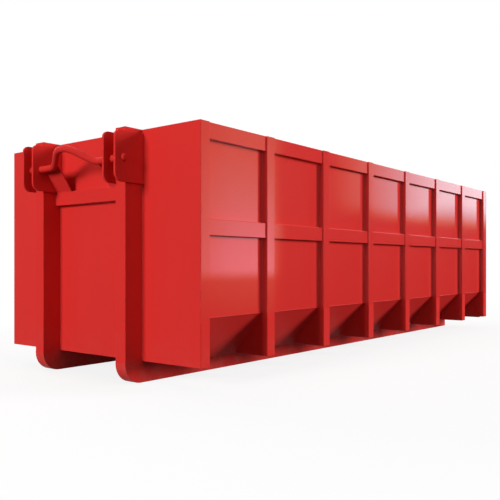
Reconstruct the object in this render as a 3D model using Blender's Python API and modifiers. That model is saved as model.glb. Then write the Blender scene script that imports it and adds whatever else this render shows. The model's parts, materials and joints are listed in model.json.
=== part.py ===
"""Open-top steel dumpster that a hook-lift truck loads.

Frame: X across, Y along (the front wall with the bail faces -Y, the door +Y), Z up.
The origin is on the ground, in the middle of the whole part's outline. Metres.
"""
import math

import bmesh
import bpy
from mathutils import Matrix, Vector

# Clearances
GAP = 0.0003
OVERRUN = 0.010

# Body shell
BODY_WIDTH = 2.440
BODY_LENGTH = 6.200
WALL_HEIGHT = 1.840
SIDE_SHEET = 0.004
FLOOR_PLATE = 0.005
FRONT_PLATE = 0.005
SLOPE_RISE = 0.362
SLOPE_REACH = 0.298
FRONT_RAIL_SIZE = 0.060
FRONT_RAIL_WALL = 0.004

# Side ribs and rails
RIB_COUNT = 8
RIB_WIDTH = 0.105
RIB_DEPTH = 0.052
RIB_PLATE = 0.005
FIRST_BAY = 0.822
LAST_BAY = 0.848
RAIL_HEIGHT = 0.125
RAIL_SETBACK = 0.013
RAIL_PLATE = 0.004
RAIL_END_GAP = 0.005
MID_RAIL_BASE = 0.988
FOOT_TIP_HEIGHT = 0.018

# Runners and what the floor stands on
RUNNER_SPACING = 1.074
RUNNER_WIDTH = 0.116
RUNNER_HEIGHT = 0.170
RUNNER_PLATE = 0.008
NOSE_RADIUS = 0.160
CROSSMEMBER_WIDTH = 0.050
CROSSMEMBER_HEIGHT = 0.080
CROSSMEMBER_PLATE = 0.005
SILL_SIZE = 0.060

# Front posts, ears and the bail
POST_DEPTH = 0.178
POST_PLATE = 0.008
CROSS_HEIGHT = 0.117
CROSS_DEPTH = 0.050
CROSS_PLATE = 0.006
EAR_PLATE = 0.020
EAR_HEIGHT = 0.435
EAR_MARGIN = 0.055
EAR_TOP_DROP = 0.038
EAR_TOP_RADIUS = 0.050
EAR_BOTTOM_RADIUS = 0.070
BAIL_RADIUS = 0.029
BAIL_CLEARANCE = 0.004
BAIL_DROP = 0.248
BAIL_OVERHANG = 0.022
HUMP_RISE = 0.114
HUMP_FORWARD = 0.118
HUMP_HALF_TOP = 0.016
HUMP_HALF_BASE = 0.322
GUSSET_WIDTH = 0.200
GUSSET_PLATE = 0.012

# Rear frame
REAR_PLATE = 0.008
DOOR_SEAT = 0.060

# Door
DOOR_SHEET = 0.004
DOOR_DEPTH = 0.060
DOOR_DROP = 0.020
DOOR_TOP_GAP = 0.010
DOOR_TUBE_WALL = 0.004
STILE_WIDTH = 0.080
DOOR_BAR_WIDTH = 0.060
UPRIGHT_COUNT = 4
UPRIGHT_WIDTH = 0.060

# Door hinges
HINGE_INSET = 0.030
HINGE_STANDOFF = 0.030
HINGE_RADIUS = 0.024
HINGE_HEIGHT = 0.100
HINGE_RUNNING_GAP = 0.001
STRAP_PLATE = 0.012
HINGE_SIDE_GAP = 0.011
LUG_PLATE = 0.014
ROD_RADIUS = 0.012
ROD_HEAD_RADIUS = 0.019
ROD_HEAD_HEIGHT = 0.008
ROD_TAIL = 0.012
RUNNING_CLEARANCE = 0.0005
HINGE_HEIGHT_SHARES = (0.10, 0.50, 0.90)

# Door lock
LOCK_INSET = 0.068
LOCK_STANDOFF = 0.035
LOCK_SHAFT_RADIUS = 0.019
HUB_RADIUS = 0.031
LOCK_SIDE_GAP = 0.009
FINGER_LENGTH = 0.100
FINGER_HEIGHT = 0.030
FINGER_NOSE = 0.022
BEARING_HEIGHT = 0.045
SHAFT_END_GAP = 0.060
FINGER_HEIGHT_SHARES = (0.14, 0.46, 0.86)
END_BEARING_SHARES = (0.06, 0.94)
FORK_BEARING_GAP = 0.020
FORK_HEIGHT = 0.056
FORK_REACH = 0.080
FORK_CHEEK = 0.011
LEVER_THICKNESS = 0.012
LEVER_HEIGHT = 0.040
LEVER_LENGTH = 0.620
LEVER_SIDE_GAP = 0.001
LEVER_PIVOT_INSET = 0.022
LEVER_PIN_RADIUS = 0.008
LEVER_PIN_HEAD = 0.006
LEVER_HOLE_RADIUS = 0.010
CRADLE_WIDTH = 0.050
CRADLE_PLATE = 0.008
CRADLE_LIP = 0.022
CRADLE_INSET_SHARE = 0.80

# Rear rollers
ROLLER_GROUND_GAP = 0.002
ROLLER_HEADROOM = 0.008
ROLLER_WIDTH = 0.120
ROLLER_SIDE_GAP = 0.003
ROLLER_INSET = 0.020
ROLLER_EDGE = 0.006
AXLE_RADIUS = 0.018
AXLE_HEAD_RADIUS = 0.026
AXLE_HEAD_WIDTH = 0.008
CHEEK_PLATE = 0.010
CHEEK_BOSS = 0.032

# Facets
CIRCLE_SIDES = 24
ARC_STEPS = 6
NOSE_STEPS = 8
HUMP_STEPS = 28
BAIL_RESOLUTION = 4

# Places that follow from the sizes above
HALF_WIDTH = BODY_WIDTH / 2
FLOOR_Z = RUNNER_HEIGHT
RIM_Z = FLOOR_Z + WALL_HEIGHT
SHEET_OUT_X = HALF_WIDTH - RIB_DEPTH
SHEET_IN_X = SHEET_OUT_X - SIDE_SHEET
KNEE_Z = FLOOR_Z + SLOPE_RISE
SLOPE_FOOT_X = SHEET_OUT_X - SLOPE_REACH
RUNNER_X = RUNNER_SPACING / 2
RUNNER_IN_X = RUNNER_X - RUNNER_WIDTH / 2
RUNNER_OUT_X = RUNNER_X + RUNNER_WIDTH / 2
BAIL_REACH = POST_DEPTH + BAIL_CLEARANCE + BAIL_RADIUS
EAR_REACH = BAIL_REACH + BAIL_RADIUS + EAR_MARGIN
DOOR_REACH = REAR_PLATE + 2 * GAP
LOCK_REACH = DOOR_REACH + DOOR_DEPTH + LOCK_STANDOFF
HINGE_REACH = DOOR_REACH + DOOR_DEPTH + HINGE_STANDOFF
FRONT_OVERHANG = max(EAR_REACH, BAIL_REACH + HUMP_FORWARD + BAIL_RADIUS)
REAR_OVERHANG = max(HINGE_REACH + HINGE_RADIUS, LOCK_REACH + HUB_RADIUS)
FRONT_Y = FRONT_OVERHANG - (FRONT_OVERHANG + BODY_LENGTH + REAR_OVERHANG) / 2
REAR_Y = FRONT_Y + BODY_LENGTH
INNER_FRONT_Y = FRONT_Y + FRONT_PLATE
MID_RAIL_Z = FLOOR_Z + MID_RAIL_BASE
BAIL_Z = RIM_Z - BAIL_DROP
CROSS_TOP_Z = RIM_Z - EAR_HEIGHT
LOCK_X = HALF_WIDTH - LOCK_INSET
LOCK_Y = REAR_Y + LOCK_REACH
HINGE_X = HINGE_INSET - HALF_WIDTH
HINGE_Y = REAR_Y + HINGE_REACH
DOOR_LOW_X = HINGE_X + HINGE_RADIUS + HINGE_SIDE_GAP
DOOR_HIGH_X = LOCK_X - HUB_RADIUS - LOCK_SIDE_GAP
DOOR_BOTTOM_Z = FLOOR_Z - DOOR_DROP
DOOR_TOP_Z = RIM_Z - DOOR_TOP_GAP
DOOR_INNER_Y = REAR_Y + DOOR_REACH
DOOR_FACE_Y = DOOR_INNER_Y + DOOR_DEPTH
SHAFT_BLOCK_Y = REAR_Y + GAP + REAR_PLATE / 2
LEVER_Z = MID_RAIL_Z + RAIL_HEIGHT / 2
ROLLER_RADIUS = (DOOR_BOTTOM_Z - ROLLER_HEADROOM - ROLLER_GROUND_GAP) / 2
ROLLER_Y = REAR_Y - ROLLER_INSET
ROLLER_Z = ROLLER_GROUND_GAP + ROLLER_RADIUS

# Colours, as (red, green, blue)
PAINT_RED = (0.62, 0.028, 0.022)
BARE_STEEL = (0.42, 0.41, 0.40)
GREASED_STEEL = (0.16, 0.155, 0.15)


def clear_scene():
    """Remove the objects that a new scene starts with."""
    for scene_object in list(bpy.data.objects):
        bpy.data.objects.remove(scene_object, do_unlink=True)


def make_collection(name):
    """Return a new collection in the scene."""
    collection = bpy.data.collections.new(name)
    bpy.context.scene.collection.children.link(collection)
    return collection


def make_material(name, colour, roughness, metallic):
    """Return a Principled material."""
    material = bpy.data.materials.new(name)
    material.use_nodes = True
    shader = material.node_tree.nodes["Principled BSDF"]
    shader.inputs["Base Color"].default_value = (*colour, 1)
    shader.inputs["Roughness"].default_value = roughness
    shader.inputs["Metallic"].default_value = metallic
    return material


def paint(name):
    """Glossy red paint for one piece."""
    return make_material(name + "_paint", PAINT_RED, 0.22, 0)


def steel(name, colour=BARE_STEEL):
    """Bare steel for one piece."""
    return make_material(name + "_steel", colour, 0.38, 1)


def add_object(name, data, material, location=(0, 0, 0)):
    """Put one named sub-part in the dumpster's collection."""
    piece = bpy.data.objects.new(name, data)
    piece.location = location
    dumpster.objects.link(piece)
    if not data.materials:
        data.materials.append(material)
    return piece


def evaluated_mesh(holder):
    """Mesh of an object as its modifiers leave it. The object itself is removed."""
    bpy.context.scene.collection.objects.link(holder)
    graph = bpy.context.evaluated_depsgraph_get()
    mesh = bpy.data.meshes.new_from_object(holder.evaluated_get(graph))
    bpy.data.objects.remove(holder)
    return mesh


def welded(mesh):
    """Close a mesh whose parts only touch, with its faces pointing out."""
    shell = bmesh.new()
    shell.from_mesh(mesh)
    bmesh.ops.remove_doubles(shell, verts=shell.verts, dist=GAP / 10)
    bmesh.ops.recalc_face_normals(shell, faces=shell.faces)
    shell.to_mesh(mesh)
    shell.free()
    return mesh


def thick(mesh, plate):
    """Thicken an open surface inwards."""
    holder = bpy.data.objects.new("surface", mesh)
    solidify = holder.modifiers.new("plate", "SOLIDIFY")
    solidify.thickness = plate
    solidify.offset = -1
    solidify.use_even_offset = True
    solidify.use_quality_normals = True
    return evaluated_mesh(holder)


def combined(mesh, other, operation):
    """Join a solid to another, or cut the other out of it."""
    tool = bpy.data.objects.new("tool", other)
    bpy.context.scene.collection.objects.link(tool)
    holder = bpy.data.objects.new("solid", mesh)
    modifier = holder.modifiers.new("combine", "BOOLEAN")
    modifier.operation = operation
    modifier.object = tool
    result = evaluated_mesh(holder)
    bpy.data.objects.remove(tool)
    return result


def mesh_of_curve(curve):
    """Turn a filled curve into a closed mesh."""
    return welded(evaluated_mesh(bpy.data.objects.new("outline", curve)))


def add_outline(curve, points):
    """Add one closed outline to a flat curve."""
    spline = curve.splines.new("POLY")
    spline.points.add(len(points) - 1)
    for point, (x, y) in zip(spline.points, points):
        point.co = (x, y, 0, 1)
    spline.use_cyclic_u = True


def plate_mesh(outline, thickness, holes=()):
    """Flat plate in the XY plane, centred on z = 0, cut to an outline."""
    curve = bpy.data.curves.new("outline", "CURVE")
    curve.dimensions = "2D"
    curve.fill_mode = "BOTH"
    curve.extrude = thickness / 2
    add_outline(curve, outline)
    for hole in holes:
        add_outline(curve, hole)
    return mesh_of_curve(curve)


def plate_across(outline, low_x, high_x, holes=()):
    """Plate whose outline is given in (y, z), between two places along X."""
    mesh = plate_mesh(outline, high_x - low_x, holes)
    stand = Matrix(((0, 0, 1, (low_x + high_x) / 2), (1, 0, 0, 0), (0, 1, 0, 0), (0, 0, 0, 1)))
    mesh.transform(stand)
    return mesh


def plate_along(outline, low_y, high_y, holes=()):
    """Plate whose outline is given in (x, z), between two places along Y."""
    mesh = plate_mesh(outline, high_y - low_y, holes)
    stand = Matrix(((1, 0, 0, 0), (0, 0, -1, (low_y + high_y) / 2), (0, 1, 0, 0), (0, 0, 0, 1)))
    mesh.transform(stand)
    return mesh


def plate_flat(outline, low_z, high_z, holes=()):
    """Plate whose outline is given in (x, y), between two heights."""
    mesh = plate_mesh(outline, high_z - low_z, holes)
    mesh.transform(Matrix.Translation((0, 0, (low_z + high_z) / 2)))
    return mesh


def arc(centre, radius, start, end, steps=ARC_STEPS):
    """Points along an arc, with its angles in degrees."""
    points = []
    for step in range(steps + 1):
        angle = math.radians(start + (end - start) * step / steps)
        points.append((centre[0] + radius * math.cos(angle), centre[1] + radius * math.sin(angle)))
    return points


def circle(centre, radius):
    """Outline of a round bar or disc."""
    return arc(centre, radius, 0, 360, CIRCLE_SIDES)[:-1]


def bore(centre, radius):
    """Outline of a hole whose flats stand at the radius."""
    return circle(centre, radius / math.cos(math.pi / CIRCLE_SIDES))


def without_faces(mesh, *planes):
    """Delete the faces that lie in the given planes, each a normal and a point."""
    shell = bmesh.new()
    shell.from_mesh(mesh)
    shell.normal_update()
    doomed = set()
    for normal, point in planes:
        direction = Vector(normal).normalized()
        for face in shell.faces:
            aligned = face.normal.dot(direction) > 0.99
            away = (face.calc_center_median() - Vector(point)).dot(direction)
            if aligned and abs(away) < GAP / 2:
                doomed.add(face)
    bmesh.ops.delete(shell, geom=list(doomed), context="FACES")
    shell.to_mesh(mesh)
    shell.free()
    return mesh


def box_mesh(low, high):
    """Closed box between two corners."""
    low = Vector(low)
    high = Vector(high)
    place = Matrix.Translation((low + high) / 2) @ Matrix.Diagonal((*(high - low), 1))
    shell = bmesh.new()
    bmesh.ops.create_cube(shell, size=1, matrix=place)
    mesh = bpy.data.meshes.new("box")
    shell.to_mesh(mesh)
    shell.free()
    return mesh


def open_box(low, high, plate, open_sides):
    """Box of bent plate between two corners, with some sides left off."""
    planes = []
    for side in open_sides:
        corner = high if sum(side) > 0 else low
        planes.append((side, corner))
    return thick(without_faces(box_mesh(low, high), *planes), plate)


def cylinder_mesh(centre, radius, length, axis="Z"):
    """Closed cylinder along one axis."""
    turns = {"X": Matrix.Rotation(math.pi / 2, 4, "Y"), "Y": Matrix.Rotation(math.pi / 2, 4, "X")}
    place = Matrix.Translation(centre) @ turns.get(axis, Matrix.Identity(4))
    shell = bmesh.new()
    bmesh.ops.create_cone(
        shell, cap_ends=True, segments=CIRCLE_SIDES, radius1=radius, radius2=radius, depth=length, matrix=place
    )
    mesh = bpy.data.meshes.new("cylinder")
    shell.to_mesh(mesh)
    shell.free()
    return mesh


def measured_from(origin, *meshes):
    """Collect meshes into one, measured from an origin."""
    shell = bmesh.new()
    for mesh in meshes:
        shell.from_mesh(mesh)
        bpy.data.meshes.remove(mesh)
    bmesh.ops.translate(shell, verts=shell.verts, vec=-Vector(origin))
    joined = bpy.data.meshes.new("piece")
    shell.to_mesh(joined)
    shell.free()
    return joined


def mirrored(mesh):
    """Copy of a mesh on the other side of the YZ plane."""
    shell = bmesh.new()
    shell.from_mesh(mesh)
    bmesh.ops.scale(shell, verts=shell.verts, vec=(-1, 1, 1))
    bmesh.ops.reverse_faces(shell, faces=shell.faces)
    copy = bpy.data.meshes.new("mirrored")
    shell.to_mesh(copy)
    shell.free()
    return copy


def shade_round(piece):
    """Shade a turned piece smooth, with its edges kept sharp."""
    piece.data.shade_smooth()
    piece.data.set_sharp_from_angle(angle=math.radians(35))


def add_pair(name, mesh, make_finish, place=(0, 0, 0), ending=""):
    """Add a piece to the right side, and its mirror image to the left."""
    pieces = []
    for side, data, sign in (("left", mirrored(mesh), -1), ("right", mesh, 1)):
        full_name = name + "_" + side + ending
        location = (sign * place[0], place[1], place[2])
        pieces.append(add_object(full_name, data, make_finish(full_name), location))
    return pieces


def slope_z(x):
    """Height of the sloped sheet's outer face above a place across the width."""
    return FLOOR_Z + SLOPE_RISE * (x - SLOPE_FOOT_X) / SLOPE_REACH


def slope_x(z):
    """Place across the width where the sloped sheet's outer face has a height."""
    return SLOPE_FOOT_X + SLOPE_REACH * (z - FLOOR_Z) / SLOPE_RISE


def slope_run(thickness):
    """Distance that a thickness square to the slope takes up across the width."""
    return thickness * math.hypot(SLOPE_RISE, SLOPE_REACH) / SLOPE_RISE


def floor_edge_x():
    """Half width of the floor plate, at the feet of the sloped sheets."""
    return SLOPE_FOOT_X - slope_run(SIDE_SHEET) - GAP


def rib_starts():
    """Place of each rib's front face along Y."""
    first = FRONT_Y
    last = REAR_Y - RIB_WIDTH
    second = first + FIRST_BAY
    last_inner = last - LAST_BAY
    inner_count = RIB_COUNT - 2
    starts = [first]
    for number in range(inner_count):
        starts.append(second + (last_inner - second) * number / (inner_count - 1))
    starts.append(last)
    return starts


def rib_spans():
    """Front and rear face of each rib; the first one stands behind the front wall."""
    spans = [(start, start + RIB_WIDTH) for start in rib_starts()]
    spans[0] = (INNER_FRONT_Y + GAP, spans[0][1])
    return spans


def add_floor():
    """Flat floor plate between the feet of the two slopes, out to the door."""
    edge_x = floor_edge_x()
    mesh = box_mesh((-edge_x, INNER_FRONT_Y + GAP, FLOOR_Z), (edge_x, DOOR_INNER_Y - GAP, FLOOR_Z + FLOOR_PLATE))
    add_object("floor_plate", mesh, paint("floor_plate"))


def add_front_wall():
    """Front wall and the tube that stiffens its upper edge inside."""
    wall = box_mesh((-HALF_WIDTH, FRONT_Y, FLOOR_Z), (HALF_WIDTH, INNER_FRONT_Y, RIM_Z))
    add_object("front_wall", wall, paint("front_wall"))
    end_x = SHEET_IN_X - GAP
    low = (-end_x, INNER_FRONT_Y + GAP, RIM_Z - FRONT_RAIL_SIZE)
    high = (end_x, INNER_FRONT_Y + GAP + FRONT_RAIL_SIZE, RIM_Z)
    rail = open_box(low, high, FRONT_RAIL_WALL, ((1, 0, 0), (-1, 0, 0)))
    add_object("front_top_rail", rail, paint("front_top_rail"))


def add_side_sheets():
    """Upright sheets and the sloped sheets below them."""
    low_y = INNER_FRONT_Y + GAP
    upright = box_mesh((SHEET_IN_X, low_y, KNEE_Z + GAP), (SHEET_OUT_X, REAR_Y, RIM_Z))
    add_pair("side_sheet", upright, paint)
    run = slope_run(SIDE_SHEET)
    outline = [
        (SLOPE_FOOT_X, FLOOR_Z),
        (SHEET_OUT_X, KNEE_Z),
        (SHEET_OUT_X - run, KNEE_Z),
        (SLOPE_FOOT_X - run, FLOOR_Z),
    ]
    add_pair("slope_sheet", plate_along(outline, low_y, REAR_Y), paint)


def rib_shell(half):
    """Channel rib with its foot under the slope."""
    back_x = SHEET_OUT_X + GAP
    drop = GAP * math.hypot(SLOPE_RISE, SLOPE_REACH) / SLOPE_REACH
    toe_z = FLOOR_Z + FOOT_TIP_HEIGHT
    toe_x = slope_x(toe_z + drop)
    outline = [
        (toe_x, FLOOR_Z),
        (HALF_WIDTH, FLOOR_Z),
        (HALF_WIDTH, RIM_Z),
        (back_x, RIM_Z),
        (back_x, slope_z(back_x) - drop),
        (toe_x, toe_z),
    ]
    mesh = without_faces(
        plate_along(outline, -half, half),
        ((-1, 0, 0), (back_x, 0, RIM_Z)),
        ((-SLOPE_RISE, 0, SLOPE_REACH), (toe_x, 0, toe_z)),
        ((-1, 0, 0), (toe_x, 0, toe_z)),
    )
    return thick(mesh, RIB_PLATE)


def rail_box(low_z, clearance=0):
    """Corners of a side rail, which runs from inside the first rib to inside the last."""
    spans = rib_spans()
    low_y = spans[0][0] + RIB_PLATE + RAIL_END_GAP - clearance
    high_y = spans[-1][1] - RIB_PLATE - RAIL_END_GAP + clearance
    low = (SHEET_OUT_X + GAP - clearance, low_y, low_z - clearance)
    high = (HALF_WIDTH - RAIL_SETBACK + clearance, high_y, low_z + RAIL_HEIGHT + clearance)
    return low, high


def rail_bases():
    """Name and lower edge of each side rail."""
    return (("top_rail", RIM_Z - RAIL_HEIGHT), ("middle_rail", MID_RAIL_Z))


def add_ribs():
    """Eight upright ribs on each side, notched for the rails that run through them."""
    for number, (low_y, high_y) in enumerate(rib_spans(), start=1):
        middle = (low_y + high_y) / 2
        rib = rib_shell((high_y - low_y) / 2)
        for _, low_z in rail_bases():
            notch = measured_from((0, middle, 0), box_mesh(*rail_box(low_z, GAP)))
            rib = combined(rib, notch, "DIFFERENCE")
        add_pair("side_rib", rib, paint, (0, middle, 0), "_" + str(number))


def add_side_rails():
    """Top rails and middle rails, let into the ribs."""
    for name, low_z in rail_bases():
        low, high = rail_box(low_z)
        add_pair(name, open_box(low, high, RAIL_PLATE, ((0, 1, 0), (0, -1, 0))), paint)


def runner_outline():
    """Side profile (y, z) of a runner, with its round nose."""
    front = FRONT_Y - POST_DEPTH
    radius = min(NOSE_RADIUS, RUNNER_HEIGHT - RUNNER_PLATE, POST_DEPTH - GAP)
    nose = arc((front + radius, radius), radius, 180, 270, NOSE_STEPS)
    return nose + [(REAR_Y, 0), (REAR_Y, FLOOR_Z - GAP), (front, FLOOR_Z - GAP)]


def add_runners():
    """Box runners from the posts' feet to the rear, open at the rear end."""
    mesh = plate_across(runner_outline(), RUNNER_IN_X, RUNNER_OUT_X)
    mesh = without_faces(mesh, ((0, 1, 0), (RUNNER_X, REAR_Y, 0)))
    add_pair("runner", thick(mesh, RUNNER_PLATE), paint)


def add_posts():
    """Box posts in front of the front wall, standing on the runners' noses."""
    low = (RUNNER_IN_X, FRONT_Y - POST_DEPTH, FLOOR_Z)
    high = (RUNNER_OUT_X, FRONT_Y - GAP, RIM_Z)
    add_pair("front_post", open_box(low, high, POST_PLATE, ((0, 0, -1),)), paint)


def add_crossmembers():
    """Channels between the runners, one at each rib but the first and the last."""
    end_x = RUNNER_IN_X - GAP
    half = CROSSMEMBER_WIDTH / 2
    sides = ((0, 0, -1), (1, 0, 0), (-1, 0, 0))
    for number, (low_y, high_y) in enumerate(rib_spans()[1:-1], start=1):
        middle = (low_y + high_y) / 2
        low = (-end_x, middle - half, FLOOR_Z - CROSSMEMBER_HEIGHT)
        high = (end_x, middle + half, FLOOR_Z - GAP)
        name = "floor_crossmember_" + str(number)
        add_object(name, open_box(low, high, CROSSMEMBER_PLATE, sides), paint(name))


def add_front_cross():
    """Channel across the front wall between the posts."""
    end_x = RUNNER_IN_X - GAP
    low = (-end_x, FRONT_Y - CROSS_DEPTH, CROSS_TOP_Z - CROSS_HEIGHT)
    high = (end_x, FRONT_Y - GAP, CROSS_TOP_Z)
    mesh = open_box(low, high, CROSS_PLATE, ((0, 1, 0), (1, 0, 0), (-1, 0, 0)))
    add_object("front_crossmember", mesh, paint("front_crossmember"))


def ear_outline():
    """Profile (y, z) of a bail ear, its front corners round."""
    back = FRONT_Y - GAP
    front = FRONT_Y - EAR_REACH
    bottom = CROSS_TOP_Z + GAP
    top = RIM_Z - EAR_TOP_DROP
    low_centre = (front + EAR_BOTTOM_RADIUS, bottom + EAR_BOTTOM_RADIUS)
    high_centre = (front + EAR_TOP_RADIUS, top - EAR_TOP_RADIUS)
    outline = [(back, bottom), (back, top)]
    outline += arc(high_centre, EAR_TOP_RADIUS, 90, 180)
    outline += arc(low_centre, EAR_BOTTOM_RADIUS, 180, 270)
    return outline


def add_ears():
    """Plates on both sides of each post, bored for the bail."""
    hole = bore((FRONT_Y - BAIL_REACH, BAIL_Z), BAIL_RADIUS + GAP)
    for ending, low_x in (("_inner", RUNNER_IN_X - GAP - EAR_PLATE), ("_outer", RUNNER_OUT_X + GAP)):
        add_pair("bail_ear", plate_across(ear_outline(), low_x, low_x + EAR_PLATE, (hole,)), paint, ending=ending)


def hump_lift(x):
    """Share of the bail's hump at a place across the width."""
    travel = (abs(x) - HUMP_HALF_TOP) / (HUMP_HALF_BASE - HUMP_HALF_TOP)
    travel = min(max(travel, 0), 1)
    return (1 + math.cos(math.pi * travel)) / 2


def add_bail():
    """Round bar through the ears, with a hump in the middle for the truck's hook."""
    end_x = RUNNER_OUT_X + GAP + EAR_PLATE + BAIL_OVERHANG
    places = [-end_x]
    for step in range(HUMP_STEPS + 1):
        places.append(HUMP_HALF_BASE * (2 * step / HUMP_STEPS - 1))
    places.append(end_x)
    curve = bpy.data.curves.new("hook_bail", "CURVE")
    curve.dimensions = "3D"
    curve.bevel_depth = BAIL_RADIUS
    curve.bevel_resolution = BAIL_RESOLUTION
    curve.use_fill_caps = True
    spline = curve.splines.new("POLY")
    spline.points.add(len(places) - 1)
    for point, x in zip(spline.points, places):
        lift = hump_lift(x)
        point.co = (x, FRONT_Y - BAIL_REACH - HUMP_FORWARD * lift, BAIL_Z + HUMP_RISE * lift, 1)
    spline.use_smooth = True
    add_object("hook_bail", curve, paint("hook_bail"))


def add_gussets():
    """Plates that lean from the crossmember's front edge against the back of the bail's straight ends."""
    foot = Vector((FRONT_Y - CROSS_DEPTH, CROSS_TOP_Z + GAP))
    to_bar = Vector((FRONT_Y - BAIL_REACH, BAIL_Z)) - foot
    radius = BAIL_RADIUS + GAP
    tilt = math.asin(radius / to_bar.length)
    slant = (Matrix.Rotation(-tilt, 2) @ to_bar).normalized()
    back = Vector((slant.y, -slant.x)) * GUSSET_PLATE
    tip = foot + slant * math.sqrt(to_bar.length_squared - radius**2)
    rear_foot = foot + back - slant * back.y / slant.y
    outline = [tuple(foot), tuple(rear_foot), tuple(tip + back), tuple(tip)]
    high_x = RUNNER_IN_X - 2 * GAP - EAR_PLATE
    add_pair("bail_gusset", plate_across(outline, high_x - GUSSET_WIDTH, high_x), paint)


def rear_plate_outline():
    """Profile (x, z) of a rear post plate: a band that the door closes on, notched over the floor."""
    seat_x = DOOR_HIGH_X - DOOR_SEAT
    run = slope_run(SIDE_SHEET) + DOOR_SEAT
    notch_z = FLOOR_Z + FLOOR_PLATE + GAP
    notch_x = floor_edge_x() + GAP
    return [
        (HALF_WIDTH, FLOOR_Z),
        (HALF_WIDTH, RIM_Z),
        (seat_x, RIM_Z),
        (seat_x, slope_z(seat_x + run)),
        (slope_x(notch_z) - run, notch_z),
        (notch_x, notch_z),
        (notch_x, FLOOR_Z),
    ]


def lug_mesh(low, high):
    """Hinge lug between two heights, bored for the rod."""
    axis = (HINGE_X, HINGE_Y)
    outline = [(HINGE_X - HINGE_RADIUS, SHAFT_BLOCK_Y), (HINGE_X + HINGE_RADIUS, SHAFT_BLOCK_Y)]
    outline += arc(axis, HINGE_RADIUS, 0, 180, CIRCLE_SIDES // 2)
    return plate_flat(outline, low, high, (bore(axis, ROD_RADIUS + GAP),))


def bearing_mesh(low, high):
    """Bearing block between two heights, bored for the lock shaft."""
    axis = (LOCK_X, LOCK_Y)
    outline = [(LOCK_X - HUB_RADIUS, SHAFT_BLOCK_Y), (LOCK_X + HUB_RADIUS, SHAFT_BLOCK_Y)]
    outline += arc(axis, HUB_RADIUS, 0, 180, CIRCLE_SIDES // 2)
    return plate_flat(outline, low, high, (bore(axis, LOCK_SHAFT_RADIUS + RUNNING_CLEARANCE),))


def bearing_middles():
    """Height of the middle of each bearing: near both ends of the shaft, and on both sides of the fork."""
    offset = (FORK_HEIGHT + BEARING_HEIGHT) / 2 + FORK_BEARING_GAP
    ends = [lock_height(share) for share in END_BEARING_SHARES]
    return ends + [LEVER_Z - offset, LEVER_Z + offset]


def add_rear_posts():
    """Rear post plates: the left one carries the hinge lugs, the right one the shaft's bearings."""
    right = plate_along(rear_plate_outline(), REAR_Y + GAP, REAR_Y + GAP + REAR_PLATE)
    left = mirrored(right)
    lugs = []
    for middle in hinge_middles():
        reach = HINGE_HEIGHT / 2 + HINGE_RUNNING_GAP
        lugs.append(lug_mesh(middle - reach - LUG_PLATE, middle - reach))
        lugs.append(lug_mesh(middle + reach, middle + reach + LUG_PLATE))
    bearings = []
    for middle in bearing_middles():
        bearings.append(bearing_mesh(middle - BEARING_HEIGHT / 2, middle + BEARING_HEIGHT / 2))
    left = combined(left, measured_from((0, 0, 0), *lugs), "UNION")
    right = combined(right, measured_from((0, 0, 0), *bearings), "UNION")
    shade_round(add_object("rear_post_left", left, paint("rear_post_left")))
    shade_round(add_object("rear_post_right", right, paint("rear_post_right")))


def roller_span():
    """Inner and outer face of a roller across the width."""
    high_x = RUNNER_IN_X - 2 * GAP - CHEEK_PLATE - ROLLER_SIDE_GAP
    return high_x - ROLLER_WIDTH, high_x


def cheek_spans():
    """Low and high face of the two cheeks beside a roller."""
    low_x, high_x = roller_span()
    low_x -= ROLLER_SIDE_GAP
    high_x += ROLLER_SIDE_GAP
    return (low_x - CHEEK_PLATE, low_x), (high_x, high_x + CHEEK_PLATE)


def cheek_outline():
    """Profile (y, z) of a roller cheek behind the rear sill."""
    top = FLOOR_Z - 2 * GAP
    front = sill_rear_y() - CROSSMEMBER_PLATE / 2
    boss = (ROLLER_Y, ROLLER_Z)
    outline = [(front, top), (front, top - SILL_SIZE + CROSSMEMBER_PLATE)]
    outline += arc(boss, CHEEK_BOSS, 225, 360)
    outline += [(REAR_Y, ROLLER_Z + CHEEK_BOSS), (REAR_Y, top)]
    return outline


def sill_rear_y():
    """Rear face of the rear sill, clear of the rollers."""
    return ROLLER_Y - ROLLER_RADIUS - ROLLER_HEADROOM


def add_sill():
    """Square tube between the runners, with the cheeks that hold the rollers."""
    end_x = RUNNER_IN_X - GAP
    low = (-end_x, sill_rear_y() - SILL_SIZE, FLOOR_Z - SILL_SIZE)
    high = (end_x, sill_rear_y(), FLOOR_Z - GAP)
    tube = open_box(low, high, CROSSMEMBER_PLATE, ((1, 0, 0), (-1, 0, 0)))
    hole = bore((ROLLER_Y, ROLLER_Z), AXLE_RADIUS + GAP)
    cheeks = []
    for low_x, high_x in cheek_spans():
        cheek = plate_across(cheek_outline(), low_x, high_x, (hole,))
        cheeks.append(mirrored(cheek))
        cheeks.append(cheek)
    sill = combined(tube, measured_from((0, 0, 0), *cheeks), "UNION")
    shade_round(add_object("rear_sill", sill, paint("rear_sill")))


def axle_mesh():
    """Headed axle through both cheeks of a roller."""
    inner, outer = cheek_spans()
    low_x = inner[0] - GAP
    high_x = outer[1] - GAP
    profile = [
        (0, low_x - AXLE_HEAD_WIDTH),
        (AXLE_HEAD_RADIUS, low_x - AXLE_HEAD_WIDTH),
        (AXLE_HEAD_RADIUS, low_x),
        (AXLE_RADIUS, low_x),
        (AXLE_RADIUS, high_x),
        (0, high_x),
    ]
    return turned_mesh(profile, "X", (0, ROLLER_Y, ROLLER_Z))


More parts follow.
